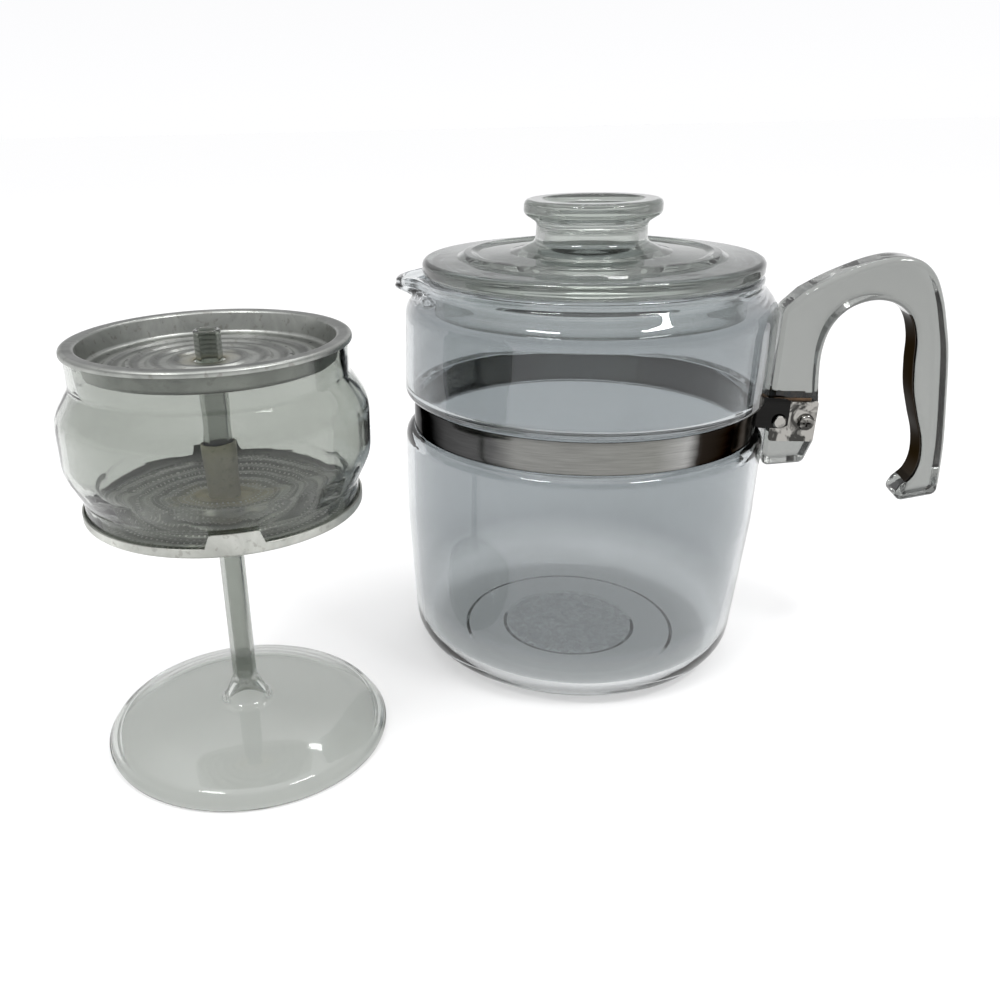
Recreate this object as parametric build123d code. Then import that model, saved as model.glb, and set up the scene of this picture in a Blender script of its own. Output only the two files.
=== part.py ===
from build123d import *
import os
from math import hypot, pi, sin, tan

# A glass stove-top coffee percolator: pot with clamped-on handle, and beside it the pump and basket
# that go inside it. Millimetres, +Z up, origin at the centre of the pot's base, handle along +X.

# ---- driving dimensions: pot ----
POT_R = 77.3            # outside of the pot's wall at its widest
HEEL_R = 72.9           # where the tapering wall would meet the table
HEEL_FILLET = 16.0
GLASS = 3.0             # wall of the pot
FLOOR_TOP = 4.4         # inside floor of the pot above the table
PAD_R = 30.0            # flat pad in the middle of the base
FOOT_RING_R = 50.0      # inner edge of the ring that the pot stands on
RECESS = 1.2            # depth of the ring-shaped recess between pad and ring
GROOVE_R = 72.8         # waist groove that the clamp band sits in
GROOVE_Z = (105.0, 119.2)
RIM_Z = 168.7           # top of the pot's mouth
MOUTH_R = 65.8          # inside of the mouth
SPOUT_REACH = 80.4      # tip of the pouring lip from the pot's axis
SPOUT_TOP_Z = 171.8     # the lip's sides rise above the rim outside the lid
SPOUT_AXIS_Z = 170.6    # axis of the half-round lip at the mouth
SPOUT_OUTER_R = 9.0
SPOUT_CHANNEL_R = 6.2
SPOUT_NOSE = 6.5        # rounding of the lip's upper outer end
SPOUT_SLOPE = 3.0       # degrees that the lip rises outward

# ---- driving dimensions: lid ----
LID_R = 69.4
LID_SEAT_GAP = 0.3      # the lid hangs this far above the mouth
LID_TOP_Z = 175.2
SKIRT_R = 63.3
SKIRT_BOTTOM_Z = 154.6
NECK_R = 22.4
KNOB_R = 27.8
KNOB_EDGE = 5.4         # height of the knob's edge
KNOB_TOP_Z = 197.4
KNOB_DISH = 3.0         # depth of the dished top
KNOB_HOLLOW_R = 18.2

# ---- driving dimensions: handle and clamp ----
HANDLE_T = 16.0         # thickness of the glass handle
HANDLE_X = 78.6         # face next to the pot
HANDLE_EDGE = 2.6       # rounding along the handle's edges
TIP_FILLET = 1.9        # rounding of the free end's tip, seen from the side
BAND_T = 0.7
BAND_H = 13.0
BAND_Z = 112.1          # middle of the band
LINER_T = 0.5           # soft liner between glass and steel
CHEEK_T = 1.0           # steel cheek plates
CHEEK_X = (79.4, 97.8)
CHEEK_Z = (99.8, 117.4)
SCREW_X = 93.6
SCREW_Z = 108.4
SCREW_R = 2.0
SCREW_HEAD_R = 3.4
RIVET_X = 82.6
RIVET_Z = 108.8
RIVET_R = 1.6
EAR_REACH = 3.8         # band's ear beyond the rivet's centre

# ---- driving dimensions: pump ----
INSERT_AT = (-134.6, -96.7)   # where the pump stands on the table
PUMP_FOOT_R = 57.6
PUMP_WALL = 2.6
STEM_R = 4.8
STEM_BORE_R = 3.1
STEM_TOP_Z = 165.0
STOP_R = 6.4            # glass bead that carries the basket
STOP_Z = 97.4           # middle of that bead

# ---- driving dimensions: basket ----
PLATE_R = 51.5
PLATE_Z = 100.9         # underside of the perforated plate
SHEET = 0.8             # aluminium sheet
PLATE_RIM_TOP = 104.5
TAB_TOP = 109.2
TAB_W = 19.5
TUBE_R = 5.9
TUBE_BORE_R = 5.2
TUBE_TOP_Z = 125.0
COLLAR_R = 50.2         # thick collar of the glass basket
BULGE_R = 55.6
NECK_GLASS_R = 49.0
BASKET_TOP_Z = 161.5
BASKET_GAP = 0.3        # between parts that come apart

# ---- driving dimensions: spreader ----
FLANGE_R = 50.3
FLANGE_Z = 162.6        # top face of the flange
WELL_R = 45.0           # inside of the well at the flange
WELL_FLOOR_Z = 154.6    # top face of the well's floor
SPREADER_HOLE_R = 5.8


# ---- helpers ----
def rounded_edges(corners):
    """Edges of a closed outline in the XZ plane; a corner is (x, z, fillet radius)."""
    count = len(corners)
    ends = []
    for i, (x, z, radius) in enumerate(corners):
        here = Vector(x, 0, z)
        before = Vector(corners[i - 1][0], 0, corners[i - 1][1])
        after = Vector(corners[(i + 1) % count][0], 0, corners[(i + 1) % count][1])
        if radius == 0:
            ends.append((here, None, here))
            continue
        back = (before - here).normalized()
        on = (after - here).normalized()
        half = back.get_angle(on) * pi / 360
        reach = radius / tan(half)
        middle = (back + on).normalized() * (radius / sin(half) - radius)
        ends.append((here + back * reach, here + middle, here + on * reach))
    edges = []
    for i, (start, middle, end) in enumerate(ends):
        if middle is not None:
            edges.append(Edge.make_three_point_arc(start, middle, end))
        next_start = ends[(i + 1) % count][0]
        if (next_start - end).length > 1e-6:
            edges.append(Edge.make_line(end, next_start))
    return edges


def turned(corners):
    """Solid of revolution about Z from an outline of (radius, z, fillet) corners."""
    return revolve(Face(Wire(rounded_edges(corners))), Axis.Z)


def slab(x, y, z):
    """Box from its low and high limits along each axis."""
    size = (x[1] - x[0], y[1] - y[0], z[1] - z[0])
    middle = ((x[0] + x[1]) / 2, (y[0] + y[1]) / 2, (z[0] + z[1]) / 2)
    return Pos(*middle) * Box(*size)


def rod_y(radius, x, z, low, high):
    """Cylinder along Y at (x, z) from y = low to y = high."""
    return Pos(x, (low + high) / 2, z) * Rot(X=90) * Cylinder(radius, high - low)


def ripples(start_r, end_r, count, low, rise):
    """Corners of concentric ridges, from start_r to end_r, on a sheet whose face is at low."""
    pitch = (end_r - start_r) / count
    soft = abs(pitch) * 0.12
    corners = []
    for i in range(count):
        left = start_r + pitch * i
        corners.append((left + pitch * 0.30, low, soft))
        corners.append((left + pitch * 0.45, low + rise, soft))
        corners.append((left + pitch * 0.65, low + rise, soft))
        corners.append((left + pitch * 0.80, low, soft))
    return corners


def straight_edge(a, b):
    return Edge.make_line(Vector(a[0], 0, a[1]), Vector(b[0], 0, b[1]))


def near_any(vertex, points):
    """Whether the vertex of a face in the XZ plane is one of the (x, z) points."""
    return any(hypot(vertex.X - x, vertex.Z - z) < 0.1 for x, z in points)


# ---- pot ----
def pot_outer():
    low, high = GROOVE_Z
    return [
        (0, 0, 0), (PAD_R, 0, 0.6), (PAD_R + 1.6, RECESS, 0.8), (FOOT_RING_R - 1.6, RECESS, 0.8),
        (FOOT_RING_R, 0, 0.6), (HEEL_R, 0, HEEL_FILLET),
        (POT_R, 68, 150), (POT_R, low - 0.2, 4.2), (GROOVE_R, low, 0.6), (GROOVE_R, high, 0.6),
        (POT_R, high + 1.4, 2.6), (POT_R - 0.6, 157, 11), (69.4, 165.6, 2.5), (70.2, RIM_Z, 1.4),
        (0, RIM_Z, 0),
    ]


def pot_inner():
    low, high = GROOVE_Z
    wall_r = POT_R - GLASS
    return [
        (0, FLOOR_TOP, 0), (HEEL_R - GLASS, FLOOR_TOP, HEEL_FILLET - GLASS), (wall_r, 68, 150),
        (wall_r, low - 2.4, 4), (GROOVE_R - GLASS, low + 0.6, 3), (GROOVE_R - GLASS, high - 0.6, 3),
        (wall_r, high + 4, 4), (wall_r - 0.6, 155.5, 9), (MOUTH_R, 162.5, 4),
        (MOUTH_R, RIM_Z - 1.4, 0), (MOUTH_R - 0.2, RIM_Z + 4, 0), (0, RIM_Z + 4, 0),
    ]


def spout_bar(radius, start, end):
    """Bar that runs out of the mouth along -X, for the pouring lip and for the channel in it."""
    middle_r = (start + end) / 2
    rise = (middle_r - MOUTH_R) * tan(SPOUT_SLOPE * pi / 180)
    bar = Rot(Y=-90 + SPOUT_SLOPE) * Cylinder(radius, end - start)
    return Pos(-middle_r, 0, SPOUT_AXIS_Z + rise) * bar


def pot_body():
    outer = turned(pot_outer())
    nose = turned([
        (0, 150, 0), (SPOUT_REACH, 150, 0), (SPOUT_REACH, SPOUT_TOP_Z, SPOUT_NOSE), (0, SPOUT_TOP_Z, 0),
    ])
    lip = spout_bar(SPOUT_OUTER_R, MOUTH_R - 4, SPOUT_REACH + 12) & nose
    lip -= Pos(0, 0, RIM_Z + 10) * Cylinder(LID_R + 1, 20)
    pot = outer + lip - turned(pot_inner())
    return pot - spout_bar(SPOUT_CHANNEL_R, MOUTH_R - 8, SPOUT_REACH + 14)


# ---- lid ----
def pot_lid():
    seat = RIM_Z + LID_SEAT_GAP
    dish_z = KNOB_TOP_Z - KNOB_DISH
    edge_z = KNOB_TOP_Z - KNOB_EDGE
    return turned([
        (0, dish_z, 0), (16.5, dish_z, 6), (20.5, KNOB_TOP_Z, 1.8), (KNOB_R, KNOB_TOP_Z, 2.2),
        (KNOB_R, edge_z, 2.2), (NECK_R, edge_z - 3.4, 2.6), (NECK_R + 0.3, 181.2, 3),
        (28.6, 178.4, 1.6), (33.0, 177.2, 2), (46.5, 176.6, 3),
        (49.0, 177.7, 1.5), (52.0, 177.5, 1.5), (54.6, 175.6, 2), (LID_R, LID_TOP_Z, 2.3),
        (LID_R, seat, 2.2), (SKIRT_R + 0.4, seat, 1.2), (SKIRT_R, SKIRT_BOTTOM_Z, 1.5),
        (SKIRT_R - 3.6, SKIRT_BOTTOM_Z, 1.5), (SKIRT_R - 3.2, seat + 2.0, 4),
        (KNOB_HOLLOW_R + 3, seat + 3.6, 5), (KNOB_HOLLOW_R - 0.4, KNOB_TOP_Z - 8.2, 6),
        (0, KNOB_TOP_Z - 8.2, 0),
    ])


# ---- handle and clamp ----
def handle_face():
    """Side view of the handle: an arch from the pot down to a free end, with finger waves inside."""
    outer = [
        (85.6, 161.4), (92.7, 165.6), (101, 169.6), (111, 173.4), (120, 174.9), (128.4, 173.2),
        (134.6, 168), (139, 159.6), (142.6, 149), (146.1, 135.8), (150.1, 112), (152.2, 97),
        (153.5, 80.5),
    ]
    inner = [
        (136.4, 80.6), (141.4, 83.6), (143.6, 90), (141.8, 101), (138.2, 111), (134.8, 121.5),
        (133, 132), (131.8, 142.5), (128.2, 151.6), (121.4, 156.8), (113, 157.9), (104.6, 154.8),
        (98.9, 148), (96.6, 138.5), (97.2, 127), (99.6, 115),
    ]
    top = Edge.make_spline([Vector(x, 0, z) for x, z in outer])
    grip = Edge.make_spline([Vector(x, 0, z) for x, z in inner])
    tongue = [inner[-1], (98.6, 99), (95.8, 89.4), (HANDLE_X, 87.4), (HANDLE_X, 154.4), outer[0]]
    tip = (133.6, 72.4)
    end = [outer[-1], (151.9, 76.4), tip, inner[0]]
    sides = [straight_edge(a, b) for run in (tongue, end) for a, b in zip(run, run[1:])]
    face = Face(Wire([top, grip, *sides]))
    soft = [v for v in face.vertices() if near_any(v, [*tongue[2:5], end[1]])]
    face = face.fillet_2d(HANDLE_EDGE + 0.4, soft)
    return face.fillet_2d(TIP_FILLET, [v for v in face.vertices() if near_any(v, [tip])])


def handle():
    blank = extrude(handle_face(), HANDLE_T / 2, dir=(0, 1, 0), both=True)
    along = [e for e in blank.edges() if abs(abs(e.center().Y) - HANDLE_T / 2) < 1e-3]
    body = fillet(along, HANDLE_EDGE)
    hole_r = SCREW_R + 0.6
    return body - rod_y(hole_r, SCREW_X, SCREW_Z, -HANDLE_T, HANDLE_T)


def liner(side):
    """Soft liner between one side of the glass tongue and its steel cheek."""
    low = HANDLE_T / 2
    pad = slab((CHEEK_X[0] + 0.4, CHEEK_X[1] - 3), (low, low + LINER_T), (CHEEK_Z[0] + 0.4, CHEEK_Z[1] + 0.9))
    pad -= rod_y(SCREW_R + 0.3, SCREW_X, SCREW_Z, 0, HANDLE_T)
    return pad if side > 0 else mirror(pad, Plane.XZ)


def cheek(side):
    """Steel plate on one side of the handle's tongue, with its top edge turned outward."""
    low = HANDLE_T / 2 + LINER_T
    plate = slab(CHEEK_X, (low, low + CHEEK_T), CHEEK_Z)
    plate = fillet(plate.edges().filter_by(Axis.Y), 1.4)
    past_ear = RIVET_X + EAR_REACH + 0.4
    lip = slab((past_ear, CHEEK_X[1] - 2), (low, low + CHEEK_T + 1.1), (CHEEK_Z[1] - 1.2, CHEEK_Z[1] - 0.1))
    plate += lip
    plate -= rod_y(SCREW_R + 0.2, SCREW_X, SCREW_Z, 0, HANDLE_T)
    plate -= rod_y(RIVET_R, RIVET_X, RIVET_Z, 0, HANDLE_T)
    return plate if side > 0 else mirror(plate, Plane.XZ)


def clamp_band():
    """Steel strip round the waist, its ends turned outward along the cheeks as two ears."""
    inner_r = GROOVE_R + 0.1
    ear_low = HANDLE_T / 2 + LINER_T + CHEEK_T
    ear_y = (ear_low, ear_low + BAND_T)
    span = (BAND_Z - BAND_H / 2, BAND_Z + BAND_H / 2)
    ring = Pos(0, 0, BAND_Z) * (Cylinder(inner_r + BAND_T, BAND_H) - Cylinder(inner_r, BAND_H))
    ring -= slab((0, 100), (-ear_y[0], ear_y[0]), (90, 130))
    ear = slab((inner_r - 1.4, RIVET_X + EAR_REACH), ear_y, span)
    ear -= Pos(0, 0, BAND_Z) * Cylinder(inner_r, BAND_H + 2)
    ear = fillet(ear.edges().filter_by(Axis.Y).sort_by(Axis.X)[-2:], 3)
    ear -= rod_y(RIVET_R, RIVET_X, RIVET_Z, 0, HANDLE_T)
    return ring + ear + mirror(ear, Plane.XZ)


def rivets():
    """Two domed rivets that hold the band's ears to the cheeks."""
    start = HANDLE_T / 2 + LINER_T
    face = start + CHEEK_T + BAND_T
    dome_r = 3.1
    dome = Pos(RIVET_X, face, RIVET_Z) * Sphere(dome_r)
    dome &= slab((RIVET_X - 5, RIVET_X + 5), (face, face + 2.2), (RIVET_Z - 5, RIVET_Z + 5))
    rivet = rod_y(RIVET_R, RIVET_X, RIVET_Z, start, face + 0.4) + dome
    return Compound([rivet, mirror(rivet, Plane.XZ)])


def clamp_screw():
    """Cross-recessed screw through both cheeks and the glass tongue, its head towards -Y."""
    face = HANDLE_T / 2 + LINER_T + CHEEK_T
    head_h = 2.2
    head = Pos(SCREW_X, -face - head_h / 2, SCREW_Z) * Rot(X=90) * Cylinder(SCREW_HEAD_R, head_h)
    head = fillet(head.edges().sort_by(Axis.Y)[0], 1.3)
    slot = (1.5, 0.4)
    top = -face - head_h
    for half_x, half_z in (slot, slot[::-1]):
        head -= slab((SCREW_X - half_x, SCREW_X + half_x), (top - 1, top + 1.1),
                     (SCREW_Z - half_z, SCREW_Z + half_z))
    return head + rod_y(SCREW_R, SCREW_X, SCREW_Z, -face, face + 4.2)


def clamp_nut():
    """Hexagon nut on the far cheek."""
    face = HANDLE_T / 2 + LINER_T + CHEEK_T
    across = 3.9
    nut = extrude(RegularPolygon(across, 6), 1.6, both=True) - Cylinder(SCREW_R, 4)
    return Pos(SCREW_X, face + 1.6, SCREW_Z) * Rot(X=90) * nut


# ---- pump ----
def pump():
    """Domed glass foot and tube in one piece, open right through, with a bead for the basket."""
    rim = PUMP_FOOT_R
    bead = 2.4
    return turned([
        (STEM_R, STEM_TOP_Z, 0.8), (STEM_R, STOP_Z + bead, 1.2), (STOP_R, STOP_Z + 0.9, 0.8),
        (STOP_R, STOP_Z - 0.9, 0.8), (STEM_R, STOP_Z - bead, 1.2), (STEM_R, 25, 6),
        (9.4, 14.6, 4), (40, 12.0, 45), (rim - 3.5, 7.2, 6), (rim, 2.4, 1.8), (rim - 0.8, 0, 0.8),
        (rim - 3.2, 0, 0.8), (rim - 5.6, 4.6, 4), (40, 9.4, 45), (9, 11.6, 4),
        (STEM_BORE_R, 22, 5), (STEM_BORE_R, STEM_TOP_Z, 0.8),
    ])


# ---- basket ----
def basket_plate():
    """Shallow aluminium pan with concentric ridges, an upturned rim and two grip tabs."""
    under, top = PLATE_Z, PLATE_Z + SHEET
    ridge = 0.9
    lower = ripples(9.5, 44.5, 5, under, ridge)
    upper = ripples(44.5, 9.5, 5, top, ridge)
    pan = turned([
        (TUBE_R, under, 0), *lower, (PLATE_R, under, 1.2), (PLATE_R, PLATE_RIM_TOP, 0.3),
        (PLATE_R - SHEET, PLATE_RIM_TOP, 0.3), (PLATE_R - SHEET, top, 0.5), *upper, (TUBE_R, top, 0),
    ])
    ring = Cylinder(PLATE_R, TAB_TOP - PLATE_RIM_TOP + 1) - Cylinder(PLATE_R - SHEET, 20)
    ring = Pos(0, 0, (TAB_TOP + PLATE_RIM_TOP - 1) / 2) * ring
    return pan + (ring & slab((-TAB_W / 2, TAB_W / 2), (-60, 60), (90, 130)))


def basket_tube():
    """Aluminium tube in the middle of the plate, which slides on the glass stem."""
    base = PLATE_Z - 0.5
    return turned([
        (TUBE_BORE_R, base, 0), (TUBE_R + 1.2, base, 0), (TUBE_R + 1.2, PLATE_Z, 0),
        (TUBE_R, PLATE_Z, 0), (TUBE_R, TUBE_TOP_Z, 0.2), (TUBE_BORE_R, TUBE_TOP_Z, 0.2),
    ])


def basket_glass():
    """Glass barrel: thick collar at the bottom, bulge, and a straight neck."""
    bottom = PLATE_Z + SHEET + BASKET_GAP
    neck_in = NECK_GLASS_R - 2.5
    return turned([
        (46.2, bottom, 1.2), (COLLAR_R, bottom, 1.2), (COLLAR_R, 109.6, 2), (BULGE_R, 121, 14),
        (BULGE_R, 139.5, 14), (NECK_GLASS_R, 149.4, 4), (NECK_GLASS_R, BASKET_TOP_Z, 1.1),
        (neck_in, BASKET_TOP_Z, 1.1), (neck_in, 148.2, 4), (BULGE_R - 2.6, 138.6, 12),
        (BULGE_R - 2.6, 121.5, 12), (46.4, 109.4, 5),
    ])


def spreader():
    """Aluminium dish that lies in the basket's neck and spreads the water over the coffee."""
    floor_under = WELL_FLOOR_Z - SHEET
    under = FLANGE_Z - SHEET
    ridge = 0.8
    upper = ripples(9.0, 39.0, 4, WELL_FLOOR_Z, ridge)
    lower = ripples(39.0, 9.0, 4, floor_under, ridge)
    lift = 1.2           # the flange's edge is turned down by this much
    return turned([
        (SPREADER_HOLE_R, WELL_FLOOR_Z, 0), *upper, (WELL_R - 1.6, WELL_FLOOR_Z, 1.6),
        (WELL_R, FLANGE_Z, 1.2), (FLANGE_R, FLANGE_Z, 1.2), (FLANGE_R, under - lift, 0.2),
        (FLANGE_R - 0.8, under - lift, 0.2), (FLANGE_R - 0.8, under, 0.4), (WELL_R + SHEET, under, 0.4),
        (WELL_R - 1.6 + SHEET, floor_under, 2.2), *lower, (SPREADER_HOLE_R, floor_under, 0),
    ])


def beside(piece):
    """Moves a piece of the pump and basket from the origin to where they stand."""
    return Pos(INSERT_AT[0], INSERT_AT[1], 0) * piece


PARTS = {
    "pot_body": pot_body(),
    "pot_lid": pot_lid(),
    "handle": handle(),
    "clamp_band": clamp_band(),
    "cheek_near": cheek(-1),
    "cheek_far": cheek(1),
    "liner_near": liner(-1),
    "liner_far": liner(1),
    "band_rivets": rivets(),
    "clamp_screw": clamp_screw(),
    "clamp_nut": clamp_nut(),
    "pump": beside(pump()),
    "basket_plate": beside(basket_plate()),
    "basket_tube": beside(basket_tube()),
    "basket_glass": beside(basket_glass()),
    "spreader": beside(spreader()),
}

os.makedirs("parts", exist_ok=True)
for name, piece in PARTS.items():
    export_step(piece, f"parts/{name}.step")
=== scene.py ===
import bmesh
import bpy
from math import atan2, ceil, cos, pi, radians, sin, tan
from mathutils import Matrix, Vector, noise

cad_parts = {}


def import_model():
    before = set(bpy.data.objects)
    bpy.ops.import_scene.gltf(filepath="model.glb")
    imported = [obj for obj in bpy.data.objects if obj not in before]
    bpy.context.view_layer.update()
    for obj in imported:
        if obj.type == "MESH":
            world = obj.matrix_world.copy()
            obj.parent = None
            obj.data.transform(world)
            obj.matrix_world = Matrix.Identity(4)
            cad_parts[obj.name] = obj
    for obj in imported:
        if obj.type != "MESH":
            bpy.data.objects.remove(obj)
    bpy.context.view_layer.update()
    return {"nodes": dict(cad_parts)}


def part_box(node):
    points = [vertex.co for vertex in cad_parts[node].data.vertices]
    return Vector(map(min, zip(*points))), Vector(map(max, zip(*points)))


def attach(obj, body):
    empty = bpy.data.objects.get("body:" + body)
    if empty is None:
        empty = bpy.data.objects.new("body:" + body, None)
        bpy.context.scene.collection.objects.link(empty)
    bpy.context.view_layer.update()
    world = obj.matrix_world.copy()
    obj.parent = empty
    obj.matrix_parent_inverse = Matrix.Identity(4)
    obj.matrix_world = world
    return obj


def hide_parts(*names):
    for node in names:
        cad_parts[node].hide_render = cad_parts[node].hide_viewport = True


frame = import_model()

# Outlines are in millimetres, as in the frame's drawings; everything handed to Blender is in metres.
MM = 0.001
GLASS_IOR = 1.474                     # borosilicate
TALLEST = 0.2                         # metres, for tints that change with height, painting light and shade
TURN_STEPS = 192                      # facets round a turned piece
RING_PITCH = 0.007                    # of the pressed rings in the aluminium, and of the painted light and shade laid on them
NODES = frame["nodes"]


# ------------------------------------------------------------------ sizes from the frame
def middle(node):
    low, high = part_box(node)
    return (low + high) / 2


INSERT = middle("pump")
INSERT_XY = (INSERT.x, INSERT.y)
POT_XY = (0.0, 0.0)
BAND_LOW, BAND_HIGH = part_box("clamp_band")


# ------------------------------------------------------------------ mesh helpers
def rounded(corners):
    """Points in millimetres along an outline whose corners are (radius, z, fillet radius)."""
    points = []
    count = len(corners)
    for i, (x, z, radius) in enumerate(corners):
        here = Vector((x, z))
        if radius == 0:
            points.append(here)
            continue
        back = (Vector(corners[i - 1][:2]) - here).normalized()
        on = (Vector(corners[(i + 1) % count][:2]) - here).normalized()
        half = back.angle(on) / 2
        centre = here + (back + on).normalized() * (radius / sin(half))
        start = here + back * (radius / tan(half)) - centre
        turn = pi - 2 * half
        side = 1 if back.x * on.y - back.y * on.x < 0 else -1
        steps = max(2, ceil(turn / radians(9)))
        for k in range(steps + 1):
            a = side * turn * k / steps
            points.append(centre + Vector((start.x * cos(a) - start.y * sin(a),
                                           start.x * sin(a) + start.y * cos(a))))
    return points


def dense(points, longest):
    """The closed outline's points, with more put into edges longer than the given length."""
    out = []
    for i, p in enumerate(points):
        q = points[(i + 1) % len(points)]
        cuts = 1 if (p.x < 1e-6 and q.x < 1e-6) else max(1, ceil((q - p).length / longest))
        out += [p.lerp(q, k / cuts) for k in range(cuts)]
    return out


def outward(mesh):
    """Turns every face of a closed mesh outward, which glass depends on."""
    work = bmesh.new()
    work.from_mesh(mesh)
    bmesh.ops.recalc_face_normals(work, faces=work.faces)
    work.to_mesh(mesh)
    work.free()


def mesh_object(name, verts, faces, material, smooth=True):
    mesh = bpy.data.meshes.new(name)
    mesh.from_pydata(verts, [], faces)
    mesh.validate()
    outward(mesh)
    obj = bpy.data.objects.new(name, mesh)
    bpy.context.scene.collection.objects.link(obj)
    mesh.materials.append(material)
    if smooth:
        mesh.shade_smooth()
    return obj


def steady_normals(obj):
    """Keeps wide faces flat-looking next to small roundings."""
    mod = obj.modifiers.new("normals", "WEIGHTED_NORMAL")
    mod.keep_sharp = True
    mod.weight = 80
    return obj


def turned(name, corners, xy, material, longest=6.0, shape=None, angles=None):
    """A closed outline turned about the vertical axis at xy; shape may move each point."""
    outline = dense(rounded(corners), longest)
    angles = angles or [2 * pi * k / TURN_STEPS for k in range(TURN_STEPS)]
    steps = len(angles)
    verts, rings = [], []
    for p in outline:
        if p.x < 1e-6:
            rings.append([len(verts)])
            verts.append((xy[0], xy[1], p.y * MM))
            continue
        rings.append(list(range(len(verts), len(verts) + steps)))
        for a in angles:
            r, z = (p.x, p.y) if shape is None else shape(p.x, p.y, a)
            verts.append((xy[0] + r * MM * cos(a), xy[1] + r * MM * sin(a), z * MM))
    faces = []
    for i, ring in enumerate(rings):
        other = rings[(i + 1) % len(rings)]
        if len(ring) == 1 and len(other) == 1:
            continue
        for k in range(steps):
            n = (k + 1) % steps
            if len(ring) == 1:
                faces.append((ring[0], other[n], other[k]))
            elif len(other) == 1:
                faces.append((ring[k], ring[n], other[0]))
            else:
                faces.append((ring[k], ring[n], other[n], other[k]))
    return steady_normals(mesh_object(name, verts, faces, material))


def stands_for(obj, node, body):
    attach(obj, body)
    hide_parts(node)


def ripples(start_r, end_r, count, low, rise):
    """Corners of concentric ridges on a sheet whose face is at low."""
    pitch = (end_r - start_r) / count
    soft = abs(pitch) * 0.12
    corners = []
    for i in range(count):
        left = start_r + pitch * i
        for share, lift in ((0.30, 0), (0.45, rise), (0.65, rise), (0.80, 0)):
            corners.append((left + pitch * share, low + lift, soft))
    return corners


# ------------------------------------------------------------------ material helpers
class Maker:
    """A material's node tree, with short names for adding and joining nodes."""

    def __init__(self, name):
        self.material = bpy.data.materials.new(name)
        self.material.use_nodes = True
        self.tree = self.material.node_tree
        self.shader = self.tree.nodes["Principled BSDF"]
        self.coords = self.add("ShaderNodeTexCoord")

    def add(self, kind, **settings):
        node = self.tree.nodes.new(kind)
        for key, value in settings.items():
            setattr(node, key, value)
        return node

    def join(self, a, out, b, into):
        self.tree.links.new(a.outputs[out], b.inputs[into])

    def set(self, **values):
        for key, value in values.items():
            self.shader.inputs[key.replace("_", " ")].default_value = value

    def place(self, offset=(0, 0, 0), scale=(1, 1, 1)):
        node = self.add("ShaderNodeMapping")
        node.inputs["Location"].default_value = offset
        node.inputs["Scale"].default_value = scale
        self.join(self.coords, "Object", node, "Vector")
        return node

    def noise(self, scale, detail=3.0, rough=0.5, source=None, distortion=0.0):
        node = self.add("ShaderNodeTexNoise")
        node.inputs["Scale"].default_value = scale
        node.inputs["Detail"].default_value = detail
        node.inputs["Roughness"].default_value = rough
        node.inputs["Distortion"].default_value = distortion
        self.join(source or self.coords, "Vector" if source else "Object", node, "Vector")
        return node

    def ramp(self, source, out, stops):
        node = self.add("ShaderNodeValToRGB")
        band = node.color_ramp
        while len(band.elements) < len(stops):
            band.elements.new(0.5)
        for element, (at, colour) in zip(band.elements, stops):
            element.position = at
            element.color = (*colour, 1) if isinstance(colour, tuple) else (colour, colour, colour, 1)
        self.join(source, out, node, "Fac")
        return node

    def math(self, kind, a, b=None):
        node = self.add("ShaderNodeMath", operation=kind)
        for i, value in enumerate((a, b)):
            if value is None:
                continue
            if isinstance(value, (int, float)):
                node.inputs[i].default_value = value
            else:
                out = value.outputs["Value"] if "Value" in value.outputs else value.outputs[0]
                self.tree.links.new(out, node.inputs[i])
        return node

    def mix(self, factor, a, b, blend="MIX"):
        node = self.add("ShaderNodeMix", data_type="RGBA", blend_type=blend)
        for socket, value in ((0, factor), (6, a), (7, b)):
            if isinstance(value, bpy.types.Node):
                out = value.outputs["Color"] if "Color" in value.outputs else value.outputs[0]
                self.tree.links.new(out, node.inputs[socket])
            elif isinstance(value, bpy.types.NodeSocket):
                self.tree.links.new(value, node.inputs[socket])
            else:
                node.inputs[socket].default_value = value if socket == 0 else (*value, 1)
        return node.outputs[2]

    def bump(self, height, strength, distance):
        node = self.add("ShaderNodeBump")
        node.inputs["Strength"].default_value = strength
        node.inputs["Distance"].default_value = distance
        self.tree.links.new(height, node.inputs["Height"])
        self.join(node, "Normal", self.shader, "Normal")


def glass(name, painted_shade_tint, wave=(22.0, 0.12), film=(0.0, 0.035), levels=None):
    """Clear glass with slow waves, given as scale and strength, and a thin film, given as two roughnesses.
    Its grey tint is painted shade, standing for the darker room seen through clear glass.
    levels lists heights in metres with the painted shade tint given there; lighter and darker levels paint
    light and shade by height."""
    wave_scale, wave_strength = wave
    m = Maker(name)
    m.set(Base_Color=(*painted_shade_tint, 1), Transmission_Weight=1.0, IOR=GLASS_IOR)
    if levels:
        split = m.add("ShaderNodeSeparateXYZ")
        m.join(m.coords, "Object", split, "Vector")
        height = m.add("ShaderNodeMath", operation="MULTIPLY")
        height.inputs[1].default_value = 1 / TALLEST
        m.join(split, "Z", height, 0)
        stops = [(z / TALLEST, colour) for z, colour in levels]
        m.join(m.ramp(height, "Value", stops), "Color", m.shader, "Base Color")
    slow = m.noise(wave_scale, 2.0, 0.5, m.place(scale=(1, 1, 0.45)))
    m.bump(slow.outputs["Fac"], wave_strength, 0.002)
    smear = m.noise(55.0, 5.0, 0.65)
    rough = m.ramp(smear, "Fac", [(0.45, film[0]), (0.8, film[1])])
    m.join(rough, "Color", m.shader, "Roughness")
    return m


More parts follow.
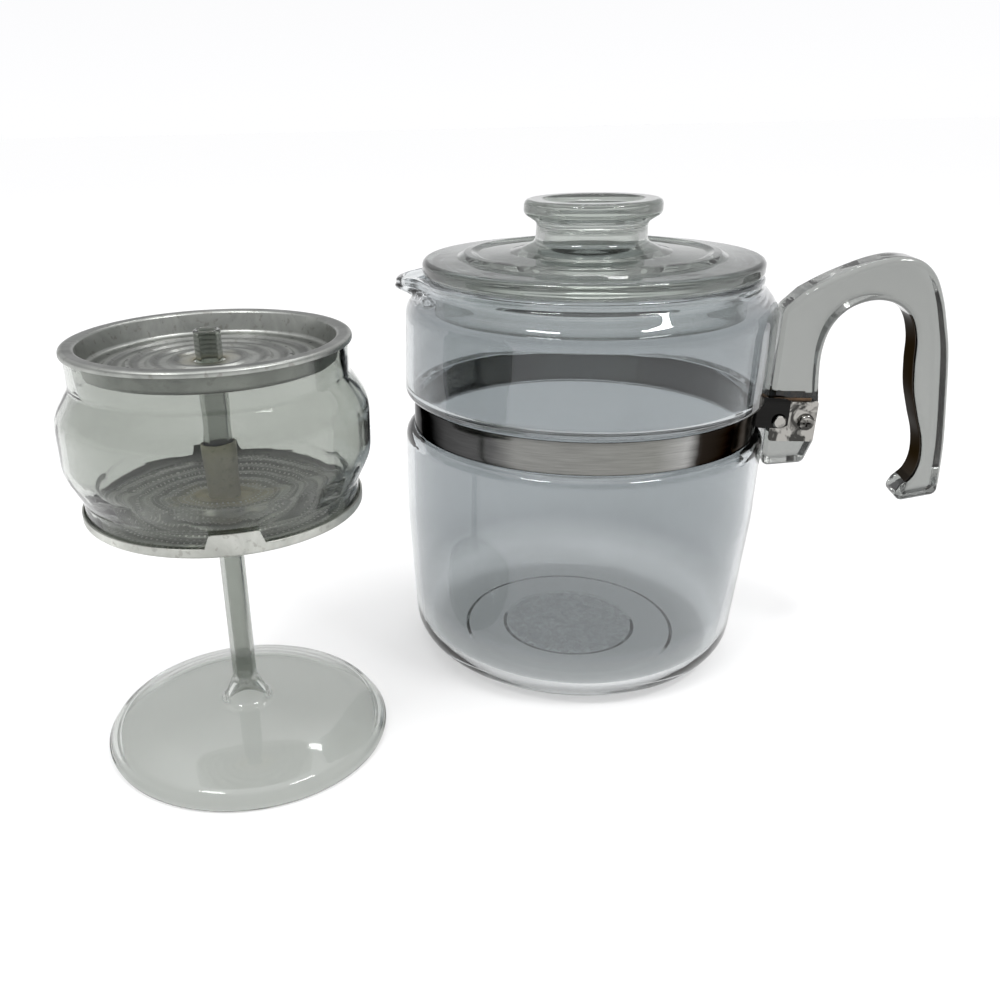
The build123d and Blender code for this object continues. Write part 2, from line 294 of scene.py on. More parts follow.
def frosted_pad(m, pad_r, top_z):
    """Makes the middle of a glass floor slightly milky, in mottles, as moulded glass is there."""
    radius, _, split = polar(m, POT_XY)
    inside = m.math("LESS_THAN", radius, pad_r)
    below = m.add("ShaderNodeMath", operation="LESS_THAN")
    m.join(split, "Z", below, 0)
    below.inputs[1].default_value = top_z
    mottle = m.ramp(m.noise(190.0, 4.0, 0.7, distortion=1.2), "Fac", [(0.35, 0.10), (0.68, 0.42)])
    amount = m.math("MULTIPLY", m.math("MULTIPLY", inside, below), mottle)
    m.join(m.math("SUBTRACT", 1.0, amount), "Value", m.shader, "Transmission Weight")


GRIP_LIMITS = (
    ("X", "GREATER_THAN", 0.1275), ("Z", "LESS_THAN", 0.1525), ("Z", "GREATER_THAN", 0.0815),
    ("Y", "LESS_THAN", 0.0070), ("Y", "GREATER_THAN", -0.0070),
)
GRIP_LEAN = 0.15                      # how much nearer to the pot the grip gets per metre of height
GRIP_FACE = 0.15935                   # X of the limit of its inner side, carried down to the floor


def grip_shade(m, painted_shade_tint, dark):
    """Painted shade: the wavy inner side of the grip is painted nearly black and made to mirror little,
    standing for the dark seen through the glass there; the other faces keep the painted shade tint.
    """
    split = m.add("ShaderNodeSeparateXYZ")
    m.join(m.coords, "Object", split, "Vector")
    mask = None
    for axis, kind, limit in GRIP_LIMITS:
        test = m.add("ShaderNodeMath", operation=kind)
        m.join(split, axis, test, 0)
        test.inputs[1].default_value = limit
        mask = test if mask is None else m.math("MULTIPLY", mask, test)
    lean = m.add("ShaderNodeMath", operation="MULTIPLY_ADD")
    m.join(split, "Z", lean, 0)
    lean.inputs[1].default_value = GRIP_LEAN
    m.join(split, "X", lean, 2)
    mask = m.math("MULTIPLY", mask, m.math("LESS_THAN", lean, GRIP_FACE))
    m.tree.links.new(m.mix(mask, painted_shade_tint, dark), m.shader.inputs["Base Color"])
    full, dull = (1, 1, 1), (0.35, 0.35, 0.35)
    m.tree.links.new(m.mix(mask, full, dull), m.shader.inputs["Specular Tint"])
    m.join(mask, "Value", m.shader, "Metallic")


def polar(m, xy):
    """Radius in metres and angle round the vertical axis at xy."""
    place = m.place(offset=(-xy[0], -xy[1], 0))
    split = m.add("ShaderNodeSeparateXYZ")
    m.join(place, "Vector", split, "Vector")
    x2 = m.add("ShaderNodeMath", operation="MULTIPLY")
    y2 = m.add("ShaderNodeMath", operation="MULTIPLY")
    angle = m.add("ShaderNodeMath", operation="ARCTAN2")
    for node, axis in ((x2, "X"), (y2, "Y")):
        m.join(split, axis, node, 0)
        m.join(split, axis, node, 1)
    m.join(split, "Y", angle, 0)
    m.join(split, "X", angle, 1)
    return m.math("SQRT", m.math("ADD", x2, y2)), angle, split


def holes(m, radius, angle, pitch, hole_r, low_r, high_r):
    """1 inside small round holes laid out in rings a pitch apart, between two radii."""
    ring = m.math("DIVIDE", radius, pitch)
    number = m.math("FLOOR", ring)
    off_ring = m.math("MULTIPLY", m.math("SUBTRACT", m.math("FRACT", ring), 0.5), pitch)
    ring_r = m.math("MULTIPLY", m.math("ADD", number, 0.5), pitch)
    count = m.math("ROUND", m.math("DIVIDE", m.math("MULTIPLY", ring_r, 2 * pi), pitch))
    turn = m.math("DIVIDE", m.math("MULTIPLY", angle, count), 2 * pi)
    cell = m.math("SUBTRACT", m.math("FRACT", turn), 0.5)
    off_turn = m.math("MULTIPLY", cell, pitch)
    distance = m.math("SQRT", m.math("ADD", m.math("POWER", off_ring, 2), m.math("POWER", off_turn, 2)))
    inside = m.math("LESS_THAN", distance, hole_r)
    inside = m.math("MULTIPLY", inside, m.math("GREATER_THAN", radius, low_r))
    return m.math("MULTIPLY", inside, m.math("LESS_THAN", radius, high_r))


WATER_SPOT = (0.17, 0.16, 0.14)
COFFEE_STAIN = (0.62, 0.55, 0.33)


def aluminium(name, tones, stain, perforated=None, metallic=1.0):
    """Dull aluminium in three tones, with painted light and shade in rings where the pressed rings are,
    water spots and a coffee stain round the middle.
    stain is its radius and strength; perforated is the holes' layout and the colour painted in them for
    what is seen through them: painted light on the plate, painted shade on the spreader."""
    m = Maker(name)
    m.set(Metallic=metallic)
    radius, angle, _ = polar(m, INSERT_XY)
    blotch = m.noise(38.0, 6.0, 0.62, distortion=0.6)
    base = m.ramp(blotch, "Fac", [(0.30, tones[0]), (0.52, tones[1]), (0.78, tones[2])])
    spots = m.noise(420.0, 2.0, 0.5)
    spot = m.ramp(spots, "Fac", [(0.60, 0.0), (0.68, 0.4)])
    colour = m.mix(spot, base, WATER_SPOT)
    stain_r, stain_share = stain
    reach = m.math("DIVIDE", radius, stain_r)
    ragged = m.math("ADD", reach, m.math("MULTIPLY", m.noise(90.0, 4.0, 0.6), 0.7))
    # Painted light and shade: the colour turns lighter and darker in rings at the pressed rings' pitch, as
    # light falls on their ridges.
    ring = m.math("SINE", m.math("MULTIPLY", radius, 2 * pi / RING_PITCH))
    lift = m.math("ADD", m.math("MULTIPLY", ring, 0.5), 0.5)
    shade = m.ramp(lift, "Value", [(0.25, 0.55), (0.70, 1.0)])
    colour = m.mix(1.0, colour, shade, "MULTIPLY")
    fade = m.ramp(ragged, "Value", [(0.55, stain_share), (1.0, 0.0)])
    colour = m.mix(fade, colour, COFFEE_STAIN)
    grain = m.noise(240.0, 3.0, 0.6)
    height = grain.outputs["Fac"]
    if perforated:
        # Painted holes: their colour stands for what is seen through them, painted light on the plate and
        # painted shade on the spreader.
        layout, painted_hole_colour = perforated
        hole = holes(m, radius, angle, *layout)
        colour = m.mix(hole, colour, painted_hole_colour)
        height = m.math("SUBTRACT", m.math("MULTIPLY", grain, 0.3), hole).outputs["Value"]
    m.tree.links.new(colour, m.shader.inputs["Base Color"])
    rough = m.ramp(blotch, "Fac", [(0.3, 0.42), (0.7, 0.26)])
    m.join(rough, "Color", m.shader, "Roughness")
    m.bump(height, 0.25, 0.0004)
    return m.material


def clamp_steel():
    """Bright steel with sharp dark patches of painted reflection, standing for a room that polished steel
    mirrors, and a few dull smears.
    """
    tone, shade, rough = (0.34, 0.33, 0.31), 0.14, (0.08, 0.2)
    m = Maker("clamp_steel")
    m.set(Metallic=1.0)
    smear = m.noise(45.0, 4.0, 0.6)
    dark = tuple(c * shade for c in tone)
    painted_reflection_patches = m.noise(120.0, 3.0, 0.55, distortion=1.6)
    m.join(m.ramp(painted_reflection_patches, "Fac", [(0.44, dark), (0.56, tone)]), "Color", m.shader, "Base Color")
    m.join(m.ramp(smear, "Fac", [(0.35, rough[0]), (0.75, rough[1])]), "Color", m.shader, "Roughness")
    m.bump(smear.outputs["Fac"], 0.2, 0.0006)
    return m.material


WANDER = 0.035                        # most that the band's painted reflection tones wander, as a share of a turn
BAND_START = 0.5 - WANDER / 2         # puts the first painted reflection tone at -X on average


def band_material():
    """Polished strip with painted reflections: dark and bright stretches of colour follow each other round
    the pot.
    """
    m = Maker("band_steel")
    m.set(Metallic=1.0, Specular_Tint=(0.35, 0.35, 0.35, 1))
    _, angle, _ = polar(m, POT_XY)
    wander = m.math("MULTIPLY", m.noise(28.0, 3.0, 0.6, m.place(scale=(1, 1, 1.6))), WANDER)
    turn = m.math("ADD", m.math("ADD", m.math("DIVIDE", angle, 2 * pi), BAND_START), wander)
    # Painted reflections: these colour stops lay dark and bright stretches round the pot by angle.
    stops = [
        (0.000, (0.17, 0.17, 0.17)), (0.058, (0.15, 0.15, 0.15)), (0.066, (0.008, 0.008, 0.008)),
        (0.094, (0.03, 0.03, 0.03)), (0.108, (0.06, 0.06, 0.06)), (0.165, (0.09, 0.09, 0.09)),
        (0.190, (0.23, 0.23, 0.22)), (0.306, (0.22, 0.22, 0.205)), (0.338, (0.36, 0.36, 0.35)),
        (0.352, (0.018, 0.014, 0.011)), (0.390, (0.016, 0.013, 0.011)), (0.410, (0.12, 0.11, 0.10)),
        (0.440, (0.012, 0.011, 0.010)), (0.500, (0.02, 0.02, 0.02)), (0.560, (0.030, 0.030, 0.029)),
        (0.640, (0.014, 0.014, 0.014)), (0.660, (0.014, 0.015, 0.014)), (0.690, (0.34, 0.32, 0.27)),
        (0.720, (0.28, 0.28, 0.26)), (0.780, (0.23, 0.235, 0.215)), (0.805, (0.028, 0.030, 0.028)),
        (0.960, (0.024, 0.026, 0.026)), (1.000, (0.15, 0.15, 0.15)),
    ]
    tone = m.ramp(turn, "Value", stops)
    grain = m.noise(70.0, 4.0, 0.6, m.place(scale=(1, 1, 34)))
    shade = m.ramp(grain, "Fac", [(0.30, 0.72), (0.70, 1.0)])
    m.tree.links.new(m.mix(1.0, tone, shade, "MULTIPLY"), m.shader.inputs["Base Color"])
    smear = m.noise(45.0, 4.0, 0.6)
    m.join(m.ramp(smear, "Fac", [(0.35, 0.10), (0.75, 0.22)]), "Color", m.shader, "Roughness")
    m.bump(grain.outputs["Fac"], 0.08, 0.0003)
    return m.material


def liner_material():
    """Brown fibre sheet, darker and lighter in grains."""
    m = Maker("liner_brown")
    grain = m.noise(300.0, 4.0, 0.6)
    brown = m.ramp(grain, "Fac", [(0.3, (0.06, 0.035, 0.02)), (0.7, (0.22, 0.13, 0.07))])
    m.join(brown, "Color", m.shader, "Base Color")
    m.set(Roughness=0.8)
    m.bump(grain.outputs["Fac"], 0.5, 0.0005)
    return m.material


PAD_R = 0.030                         # frosted middle of the pot's floor
PAD_TOP = 0.006


def pot_glass():
    # Painted shade and light: the grey wall tint stands for the darker room seen through clear glass; the
    # lighter tint low down is painted light on the shaded floor seen through the base, and the lip is
    # painted lighter.
    clear, painted_shade_tint, lip = (0.80, 0.82, 0.825), (0.500, 0.525, 0.537), (0.74, 0.76, 0.77)
    levels = [(0.0, clear), (0.012, clear), (0.030, painted_shade_tint), (0.156, painted_shade_tint), (0.163, lip)]
    m = glass("pot_glass", painted_shade_tint, wave=(17.0, 0.24), levels=levels)
    frosted_pad(m, PAD_R, PAD_TOP)
    return m.material


def lid_glass():
    # Painted shade and light: the dark tint on the top and knob and the lighter skirt and neck set each
    # part's brightness by height, standing for the light and shade seen through the lid.
    painted_shade_tint, skirt, neck = (0.245, 0.268, 0.247), (0.76, 0.78, 0.768), (0.74, 0.76, 0.74)
    knob = (0.30, 0.325, 0.30)
    levels = [
        (0.0, skirt), (0.167, skirt), (0.171, painted_shade_tint), (0.180, painted_shade_tint), (0.183, neck), (0.1885, neck),
        (0.191, knob),
    ]
    return glass("lid_glass", painted_shade_tint, wave=(30.0, 0.10), levels=levels).material


def handle_glass():
    # Painted shade: the grey tint stands for the darker room seen through the glass.
    painted_shade_tint = (0.290, 0.300, 0.288)
    m = glass("handle_glass", painted_shade_tint, wave=(40.0, 0.08))
    grip_shade(m, painted_shade_tint, (0.050, 0.044, 0.038))
    return m.material


def painted_rim_shade(m, colour):
    """Paints shade into the glass's tint where it is seen edge-on, as thick tube looks dark against a pale
    ground.
    """
    rim = m.ramp(m.add("ShaderNodeLayerWeight"), "Facing", [(0.62, 0.0), (0.90, 1.0)])
    painted_shade_tint = m.shader.inputs["Base Color"].links[0].from_socket
    m.tree.links.new(m.mix(rim, painted_shade_tint, colour), m.shader.inputs["Base Color"])


def pump_glass():
    # Painted shade and light: the grey tints, lighter on the foot and darker on the stem, stand for the
    # light and shade seen through clear glass; the edges get painted shade as well.
    foot, stem = (0.640, 0.662, 0.635), (0.47, 0.49, 0.46)
    m = glass("pump_glass", stem, film=(0.02, 0.10), levels=[(0.0, foot), (0.014, foot), (0.03, stem)])
    painted_rim_shade(m, (0.12, 0.13, 0.12))
    return m.material


def plate_metal():
    tones = ((0.32, 0.325, 0.30), (0.50, 0.51, 0.475), (0.70, 0.71, 0.66))
    pitch, hole_r, from_r, to_r = 0.0021, 0.00038, 0.013, 0.0485
    # Painted light: the holes are painted pale, standing for the light seen through them.
    painted_hole_light = (0.80, 0.80, 0.75)
    return aluminium("plate_aluminium", tones, (0.034, 0.9), ((pitch, hole_r, from_r, to_r), painted_hole_light), 0.75)


def spreader_metal():
    tones = ((0.23, 0.24, 0.225), (0.37, 0.38, 0.36), (0.54, 0.55, 0.52))
    pitch, hole_r, from_r, to_r = 0.0115, 0.0007, 0.020, 0.043
    # Painted shade: the holes are painted nearly black, standing for the shade seen through them.
    dark = (0.03, 0.03, 0.03)
    return aluminium("spreader_aluminium", tones, (0.018, 0.35), ((pitch, hole_r, from_r, to_r), dark))


def tube_metal():
    tones = ((0.62, 0.61, 0.49), (0.82, 0.80, 0.66), (0.95, 0.93, 0.80))
    return aluminium("tube_aluminium", tones, (0.022, 0.35), metallic=0.45)


POT_GLASS = pot_glass()
LID_GLASS = lid_glass()
HANDLE_GLASS = handle_glass()
PUMP_GLASS = pump_glass()
# Painted shade: the basket glass's grey tint stands for the darker room seen through it.
BASKET_GLASS = glass("basket_glass", (0.58, 0.60, 0.57), wave=(38.0, 0.75)).material
PLATE_METAL = plate_metal()
SPREADER_METAL = spreader_metal()
TUBE_METAL = tube_metal()
BAND_STEEL = band_material()
CLAMP_STEEL = clamp_steel()
LINER = liner_material()


# ------------------------------------------------------------------ pot
POT_R = 77.3
HEEL_R = 72.9
HEEL_FILLET = 16.0
GLASS_T = 3.0
FLOOR_TOP = 4.4
RECESS = 1.2                          # depth of the ring-shaped recess under the base
GROOVE_R = 72.8
GROOVE_LOW = 105.0
GROOVE_HIGH = 119.2
RIM_Z = 168.7
RIM_R = 70.2
MOUTH_R = 65.8
LIP_HALF_WIDTH = 10.5
LIP_IN, LIP_OUT = 77.0, 81.4          # radii of its two faces at the tip
LIP_START = (160.2, 163.4)            # heights between which the pouring lip leaves the wall


def pulled_lip(r, z, a):
    """Draws the rim out into a short trough on the side away from the handle, a little lower at its tip."""
    low, full = LIP_START
    if z <= low:
        return r, z
    up = min(1.0, (z - low) / (full - low))
    aside = (a - pi) * MOUTH_R / LIP_HALF_WIDTH
    share = up * up * (3 - 2 * up) / (1 + abs(aside) ** 3)
    outward = min(1.0, max(0.0, (r - MOUTH_R) / (RIM_R - MOUTH_R)))
    droop = (0.4 + 1.4 * outward) * share * share * max(0.0, (z - full) / (RIM_Z - full))
    return r + share * (LIP_IN + (LIP_OUT - LIP_IN) * outward - r), z - droop


def pot_body():
    """Outside of the pot from the base up, over the rim, and down inside to the floor."""
    wall_r = POT_R - GLASS_T
    corners = [
        (0, 0, 0), (30, 0, 0.6), (31.6, RECESS, 0.8), (48.4, RECESS, 0.8), (50, 0, 0.6),
        (HEEL_R, 0, HEEL_FILLET), (POT_R, 68, 150), (POT_R, GROOVE_LOW - 0.2, 4.2),
        (GROOVE_R, GROOVE_LOW, 0.6), (GROOVE_R, GROOVE_HIGH, 0.6), (POT_R, GROOVE_HIGH + 1.4, 2.6),
        (POT_R - 0.6, 157, 11), (69.4, 165.6, 2.5), (RIM_R, RIM_Z, 1.4), (MOUTH_R, RIM_Z, 1.4),
        (MOUTH_R, 162.5, 4), (wall_r - 0.6, 155.5, 9), (wall_r, GROOVE_HIGH + 4, 4),
        (GROOVE_R - GLASS_T, GROOVE_HIGH - 0.6, 3), (GROOVE_R - GLASS_T, GROOVE_LOW + 0.6, 3),
        (wall_r, GROOVE_LOW - 2.4, 4), (wall_r, 68, 150),
        (HEEL_R - GLASS_T, FLOOR_TOP, HEEL_FILLET - GLASS_T), (0, FLOOR_TOP, 0),
    ]
    fine, half = radians(22), 40      # the lip's side has closer facets
    coarse = [2 * pi * k / TURN_STEPS for k in range(TURN_STEPS)]
    angles = [a for a in coarse if abs(a - pi) > fine]
    angles = sorted(angles + [pi + fine * (k / half - 1) for k in range(2 * half + 1)])
    obj = turned("pot_glass_body", corners, POT_XY, POT_GLASS, 2.0, pulled_lip, angles)
    stands_for(obj, "pot_body", "pot")


def pot_lid():
    """Dished knob, ringed top, skirt, and the hollow under the knob."""
    seat, top, knob, knob_r, neck = 169.0, 175.2, 197.4, 27.8, 22.4
    corners = [
        (0, knob - 3.0, 0), (16.5, knob - 3.0, 6), (20.5, knob, 1.8), (knob_r, knob, 2.2),
        (knob_r, knob - 5.4, 2.2), (neck, knob - 8.8, 2.6), (neck + 0.3, 181.2, 3), (28.6, 178.4, 1.6),
        (33.0, 177.2, 2), (46.5, 176.6, 3), (49.0, 177.7, 1.5), (52.0, 177.5, 1.5), (54.6, 175.6, 2),
        (69.4, top, 2.3), (69.4, seat, 2.2), (63.7, seat, 1.2), (63.3, 154.6, 1.5), (59.7, 154.6, 1.5),
        (60.1, seat + 2.0, 4), (21.2, seat + 3.6, 5), (17.8, knob - 8.2, 6), (0, knob - 8.2, 0),
    ]
    stands_for(turned("lid_glass_body", corners, POT_XY, LID_GLASS), "pot_lid", "lid")


# ------------------------------------------------------------------ handle and clamp
HANDLE_T = 16.0
HANDLE_EDGE = 2.6
EDGE_STEPS = 6


def smooth_run(points, steps=8):
    """A curve through the points (Catmull-Rom), with its first and last tangents along the end chords."""
    run = [Vector(p) for p in points]
    run = [run[0] * 2 - run[1], *run, run[-1] * 2 - run[-2]]
    out = []
    for a, b, c, d in zip(run, run[1:], run[2:], run[3:]):
        for k in range(steps):
            t = k / steps
            out.append(0.5 * ((2 * b) + (c - a) * t + (2 * a - 5 * b + 4 * c - d) * t * t
                              + (3 * b - a - 3 * c + d) * t ** 3))
    out.append(run[-2])
    return out


def inset_loop(loop, depth):
    """The closed outline moved inward by depth; it runs clockwise seen along +Y."""
    out = []
    for i, here in enumerate(loop):
        before = (here - loop[i - 1]).normalized()
        after = (loop[(i + 1) % len(loop)] - here).normalized()
        a, b = Vector((before.y, -before.x)), Vector((after.y, -after.x))
        mid = (a + b).normalized()
        out.append(here + mid * (depth / max(0.5, mid.dot(a))))
    return out


def handle_outline():
    """The hook seen from the side, clockwise along +Y: over the top, down the grip, and back inside it."""
    outer = [
        (85.6, 161.4), (92.7, 165.6), (101, 169.6), (111, 173.4), (120, 174.9), (128.4, 173.2),
        (134.6, 168), (139, 159.6), (142.6, 149), (146.1, 135.8), (150.1, 112), (152.2, 97), (153.4, 82),
    ]
    inner = [
        (138, 79.8), (141.8, 84.4), (143.2, 91.5), (141.8, 101), (138.2, 111), (134.8, 121.5), (133, 132),
        (131.8, 142.5), (128.2, 151.6), (121.4, 156.8), (113, 157.9), (104.6, 154.8), (98.9, 148),
        (96.6, 138.5), (97, 127), (98.8, 114),
    ]
    foot = rounded([(98.8, 114, 0), (98.9, 99, 3), (95.8, 89.4, 3), (78.6, 87.4, 3), (78.6, 154.4, 5),
                    (85.6, 161.4, 0)])
    end = rounded([(153.4, 82, 0), (153.4, 76.2, 3.2), (134.4, 71.6, 3), (138, 79.8, 0)])
    return smooth_run(outer)[:-1] + end[:-1] + smooth_run(inner)[:-1] + foot[:-1]


def handle():
    """Solid glass hook with finger waves on its inner side and rounded edges."""
    loop = handle_outline()
    rows = []
    for k in range(EDGE_STEPS + 1):
        turn = pi / 2 * k / EDGE_STEPS
        rows.append((HANDLE_T / 2 - HANDLE_EDGE * (1 - cos(turn)), HANDLE_EDGE * (1 - sin(turn))))
    rows += [(-y, inset) for y, inset in reversed(rows)]
    verts, faces = [], []
    for y, inset in rows:
        verts += [(p.x * MM, y * MM, p.y * MM) for p in inset_loop(loop, inset)]
    n = len(loop)                     # points in each row
    for row in range(len(rows) - 1):
        for i in range(n):
            a, b = row * n + i, row * n + (i + 1) % n
            faces.append((a, b, b + n, a + n))
    faces.append(tuple(reversed(range(n))))
    faces.append(tuple(range((len(rows) - 1) * n, len(rows) * n)))
    obj = steady_normals(mesh_object("handle_glass_body", verts, faces, HANDLE_GLASS))
    stands_for(obj, "handle", "pot")


EAR_Y = 9.85                          # middle of each ear's sheet from the handle's middle plane
EAR_END = 86.4
EAR_STEP = 1.6
EAR_POINTS = 8
STRIP_R = GROOVE_R + 0.45             # middle of the strip's sheet round the waist
STRIP_T = 0.7
STRIP_BEVEL = 0.15
STRIP_ROWS = 6
STRIP_STEPS = 220
TIP_SQUEEZE = (0.80, 0.94)            # shares of the height at the ear's rounded end


def strip_path():
    """The strip's middle line in plan: out of one ear, round the waist, into the other."""
    start = atan2(EAR_Y, STRIP_R)
    sweep = 2 * (pi - start)
    ear = [Vector((EAR_END - k * EAR_STEP, EAR_Y)) for k in range(EAR_POINTS)]
    turns = [start + sweep * k / STRIP_STEPS for k in range(STRIP_STEPS + 1)]
    arc = [Vector((cos(a), sin(a))) * STRIP_R for a in turns]
    return ear + arc + [Vector((p.x, -p.y)) for p in reversed(ear)]


def clamp_band():
    """One strip: round the waist, then outward along the cheeks as two ears."""
    low, high = BAND_LOW.z, BAND_HIGH.z
    path = strip_path()
    rows = STRIP_ROWS
    verts, faces = [], []
    for i, p in enumerate(path):
        wobble = 1 + 0.05 * noise.noise(Vector((p.x, p.y, 3)) * 0.05) / 75
        from_end = min(i, len(path) - 1 - i)
        squeeze = TIP_SQUEEZE[from_end] if from_end < len(TIP_SQUEEZE) else 1.0
        for k in range(rows):
            z = (low + high) / 2 + (high - low) * (k / (rows - 1) - 0.5) * squeeze
            verts.append((p.x * MM * wobble, p.y * MM * wobble, z))
    for i in range(len(path) - 1):
        for k in range(rows - 1):
            a = i * rows + k
            faces.append((a, a + rows, a + rows + 1, a + 1))
    obj = mesh_object("band_strip", verts, faces, BAND_STEEL)
    thick = obj.modifiers.new("thick", "SOLIDIFY")
    thick.thickness = STRIP_T * MM
    thick.offset = 0
    edge = obj.modifiers.new("edge", "BEVEL")
    edge.width = STRIP_BEVEL * MM
    edge.segments = 2
    edge.limit_method = "ANGLE"
    stands_for(obj, "clamp_band", "pot")


def dress(node, material):
    """Gives a CAD node, which is kept as it is, its finish."""
    mesh = NODES[node].data
    mesh.materials.clear()
    mesh.materials.append(material)


# ------------------------------------------------------------------ pump and basket
def pump():
    """Domed foot and bored stem in one piece of glass, with the bead that the basket stops on."""
    rim, stem, bore, top = 57.6, 4.8, 3.1, 165.0
    stop_r, stop_z, bead = 6.4, 97.4, 2.4
    corners = [
        (stem, top, 0.8), (stem, stop_z + bead, 1.2), (stop_r, stop_z + 0.9, 0.8),
        (stop_r, stop_z - 0.9, 0.8), (stem, stop_z - bead, 1.2), (stem, 25, 6), (9.4, 14.6, 4),
        (40, 12.0, 45), (rim - 3.5, 7.2, 6), (rim, 2.4, 1.8), (rim - 0.8, 0, 0.8), (rim - 3.2, 0, 0.8),
        (rim - 5.6, 4.6, 4), (40, 9.4, 45), (9, 11.6, 4), (bore, 22, 5), (bore, top, 0.8),
    ]
    stands_for(turned("pump_glass_body", corners, INSERT_XY, PUMP_GLASS), "pump", "pump")


PLATE_R = 51.5
PLATE_Z = 100.9                       # its underside
PLATE_RIM = 104.5                     # height of the pan's rim
SHEET = 0.8
TAB_HALF = 9.25                       # half the width of a grip tab
TAB_RISE = 4.7
TAB_TURN = radians(-69)               # where the front tab stands round the plate


def grip_tabs(r, z, a):
    """Raises the pan's rim into two flat tabs on opposite sides."""
    if z < PLATE_RIM - 0.6 or r < PLATE_R - 1.5:
        return r, z
    nearest = (a - TAB_TURN + pi / 2) % pi - pi / 2
    inside = 1.0 / (1.0 + (abs(nearest) * PLATE_R / TAB_HALF) ** 60)
    return r, z + TAB_RISE * inside


def basket_plate():
    """Shallow pan of sheet with pressed rings and two grip tabs."""
    under, top, hole, first, last, rings, rise = PLATE_Z, PLATE_Z + SHEET, 5.9, 9.5, 44.5, 5, 0.9
    corners = [
        (hole, under, 0), *ripples(first, last, rings, under, rise), (PLATE_R, under, 1.2),
        (PLATE_R, PLATE_RIM, 0.3), (PLATE_R - SHEET, PLATE_RIM, 0.3), (PLATE_R - SHEET, top, 0.5),
        *ripples(last, first, rings, top, rise), (hole, top, 0),
    ]
    obj = turned("plate_pan", corners, INSERT_XY, PLATE_METAL, 3.0, grip_tabs)
    stands_for(obj, "basket_plate", "basket")


def basket_tube():
    """Tube with a small flange under the plate."""
    base, top, bore, outside, flange = PLATE_Z - 0.5, 125, 5.2, 5.95, 7.1
    corners = [
        (bore, base, 0), (flange, base, 0.2), (flange, PLATE_Z, 0.2), (outside, PLATE_Z, 0),
        (outside, top, 0.25), (bore, top, 0.25),
    ]
    obj = turned("tube_body", corners, INSERT_XY, TUBE_METAL)
    stands_for(obj, "basket_tube", "basket")


def basket_glass():
    """Bulged barrel, open at both ends."""
    collar, bulge, neck, bottom, top = 50.2, 55.6, 49.0, 102.0, 161.5
    corners = [
        (46.2, bottom, 1.2), (collar, bottom, 1.2), (collar, 109.6, 2), (bulge, 121, 14),
        (bulge, 139.5, 14), (neck, 149.4, 4), (neck, top, 1.1), (neck - 2.5, top, 1.1),
        (neck - 2.5, 148.2, 4), (bulge - 2.6, 138.6, 12), (bulge - 2.6, 121.5, 12), (46.4, 109.4, 5),
    ]
    obj = turned("basket_glass_body", corners, INSERT_XY, BASKET_GLASS, 3.0)
    stands_for(obj, "basket_glass", "basket_wall")


def spreader():
    """Dish with a flange, a well and pressed rings."""
    flange_r, flange_z, well_r, floor, lift, bore = 50.3, 162.6, 45.0, 154.6, 1.2, 5.8
    first, last, rings, rise = 9, 39, 4, 0.8
    floor_under, under = floor - SHEET, flange_z - SHEET
    corners = [
        (bore, floor, 0), *ripples(first, last, rings, floor, rise), (well_r - 1.6, floor, 1.6),
        (well_r, flange_z, 1.2), (flange_r, flange_z, 1.2), (flange_r, under - lift, 0.2),
        (flange_r - 0.8, under - lift, 0.2), (flange_r - 0.8, under, 0.4), (well_r + SHEET, under, 0.4),
        (well_r - 1.6 + SHEET, floor_under, 2.2), *ripples(last, first, rings, floor_under, rise),
        (bore, floor_under, 0),
    ]
    obj = turned("spreader_dish", corners, INSERT_XY, SPREADER_METAL, 3.0)
    stands_for(obj, "spreader", "spreader")


# ------------------------------------------------------------------ stage
CAMERA_AT = Vector((-22.8, -422.3, 234.3)) * MM
HEADING = radians(98)                 # camera's direction in plan, anticlockwise from +X
PITCH = radians(26.34)                # down from level
ROLL = radians(1.51)                  # clockwise
FOCAL = 0.9626                        # focal length over the frame's width
SHIFT = (0.0984, 0.0775)
SENSOR = 36


def camera():
    """Looks down on the pot and the insert from in front."""
    data = bpy.data.cameras.new("camera")
    data.sensor_width = SENSOR
    data.lens = FOCAL * data.sensor_width
    data.shift_x, data.shift_y = SHIFT
    data.clip_start = 0.01
    obj = bpy.data.objects.new("camera", data)
    forward = Vector((cos(HEADING) * cos(PITCH), sin(HEADING) * cos(PITCH), -sin(PITCH)))
    right = Vector((sin(HEADING), -cos(HEADING), 0))
    up = right.cross(forward)
    right, up = right * cos(ROLL) - up * sin(ROLL), right * sin(ROLL) + up * cos(ROLL)
    turn = Matrix((right, up, -forward)).transposed()
    obj.matrix_world = Matrix.Translation(CAMERA_AT) @ turn.to_4x4()
    bpy.context.scene.collection.objects.link(obj)
    bpy.context.scene.camera = obj


def floor():
    """Matt pale floor just under the base, with a little light of its own so that shadows stay soft."""
    m = Maker("floor_pale")
    m.set(Base_Color=(0.56, 0.56, 0.56, 1), Roughness=1.0, Specular_IOR_Level=0.0,
          Emission_Color=(1, 1, 1, 1), Emission_Strength=0.42)
    half, drop = 9.0, -0.0003
    verts = [(-half, -half, drop), (half, -half, drop), (half, half, drop), (-half, half, drop)]
    mesh_object("floor", verts, [(0, 1, 2, 3)], m.material, False)


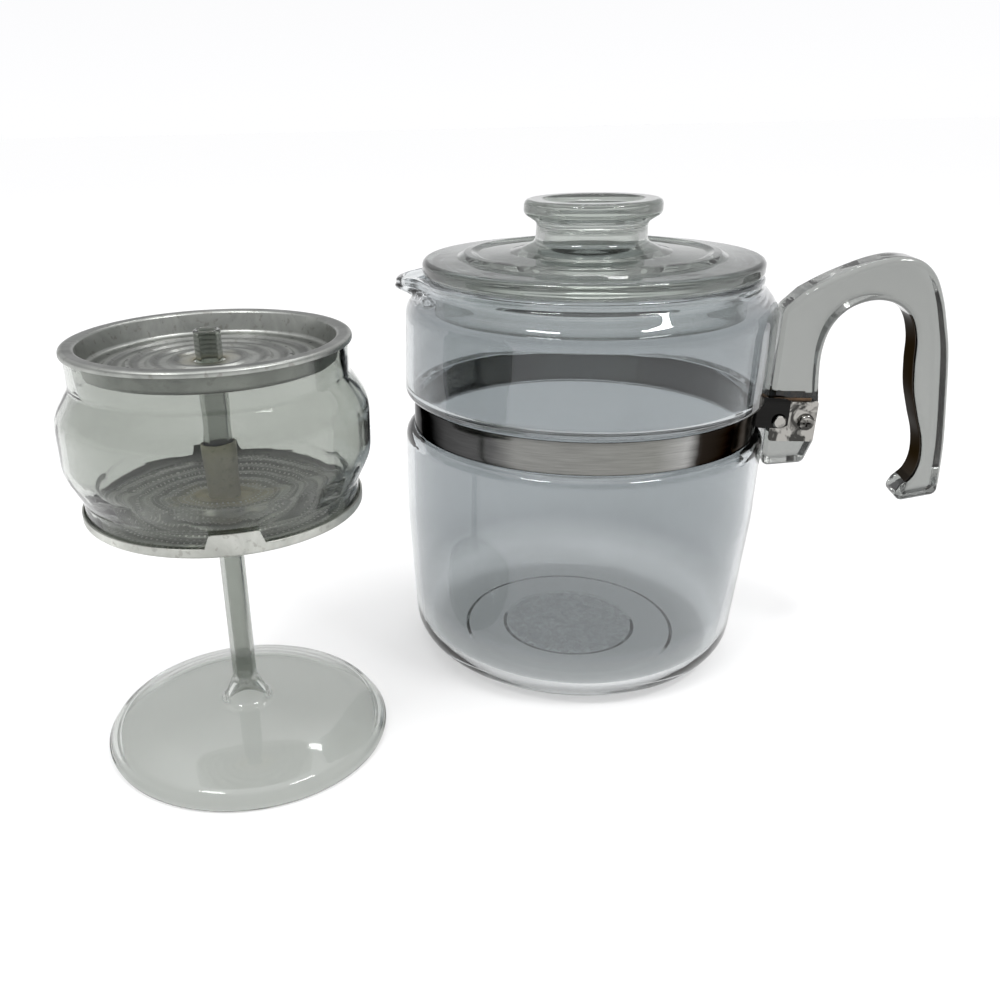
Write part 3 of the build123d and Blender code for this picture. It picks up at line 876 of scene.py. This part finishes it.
def world():
    """A pale studio: bright overhead and at the horizon, greyer in between."""
    studio = bpy.data.worlds.new("studio")
    bpy.context.scene.world = studio
    studio.use_nodes = True
    tree = studio.node_tree
    tree.nodes.clear()
    coords = tree.nodes.new("ShaderNodeTexCoord")
    split = tree.nodes.new("ShaderNodeSeparateXYZ")
    ramp = tree.nodes.new("ShaderNodeValToRGB")
    back = tree.nodes.new("ShaderNodeBackground")
    out = tree.nodes.new("ShaderNodeOutputWorld")
    tree.links.new(coords.outputs["Generated"], split.inputs[0])
    tree.links.new(split.outputs["Z"], ramp.inputs["Fac"])
    tree.links.new(ramp.outputs["Color"], back.inputs["Color"])
    tree.links.new(back.outputs["Background"], out.inputs["Surface"])
    stops = [(0.0, 1.0), (0.09, 0.97), (0.20, 0.58), (0.62, 0.60), (0.85, 1.50)]
    band = ramp.color_ramp
    while len(band.elements) < len(stops):
        band.elements.new(0.5)
    for element, (at, level) in zip(band.elements, stops):
        element.position = at
        element.color = (level, level, level * 1.01, 1)
    back.inputs["Strength"].default_value = 1.0


def softbox(name, at, aim, size, watts):
    """A rectangular lamp that points at aim."""
    data = bpy.data.lights.new(name, "AREA")
    data.shape = "RECTANGLE"
    data.size, data.size_y = size
    data.energy = watts
    obj = bpy.data.objects.new(name, data)
    obj.location = at
    obj.rotation_euler = (Vector(aim) - Vector(at)).to_track_quat("-Z", "Y").to_euler()
    bpy.context.scene.collection.objects.link(obj)


def lights():
    """Two strip lamps in front and a weaker one behind, in metres and watts."""
    aim, front = (0, 0, 0.05), (0.42, 0.10)
    softbox("key", (-0.55, -0.75, 1.35), aim, front, 6.5)
    softbox("fill", (0.70, -0.45, 1.30), aim, front, 6.5)
    softbox("back", (0.1, 0.8, 1.45), aim, (0.40, 0.10), 1.6)


def colour_handling():
    """Plain colours, and enough bounces for light to get through several walls of glass."""
    scene = bpy.context.scene
    scene.view_settings.view_transform = "Standard"
    scene.cycles.max_bounces = 32
    scene.cycles.transmission_bounces = 32
    scene.cycles.glossy_bounces = 12


pot_body()
pot_lid()
handle()
clamp_band()
pump()
basket_plate()
basket_tube()
basket_glass()
spreader()
for piece in ("cheek_near", "cheek_far", "band_rivets", "clamp_screw", "clamp_nut"):
    dress(piece, CLAMP_STEEL)
for piece in ("liner_near", "liner_far"):
    dress(piece, LINER)
camera()
floor()
world()
lights()
colour_handling()
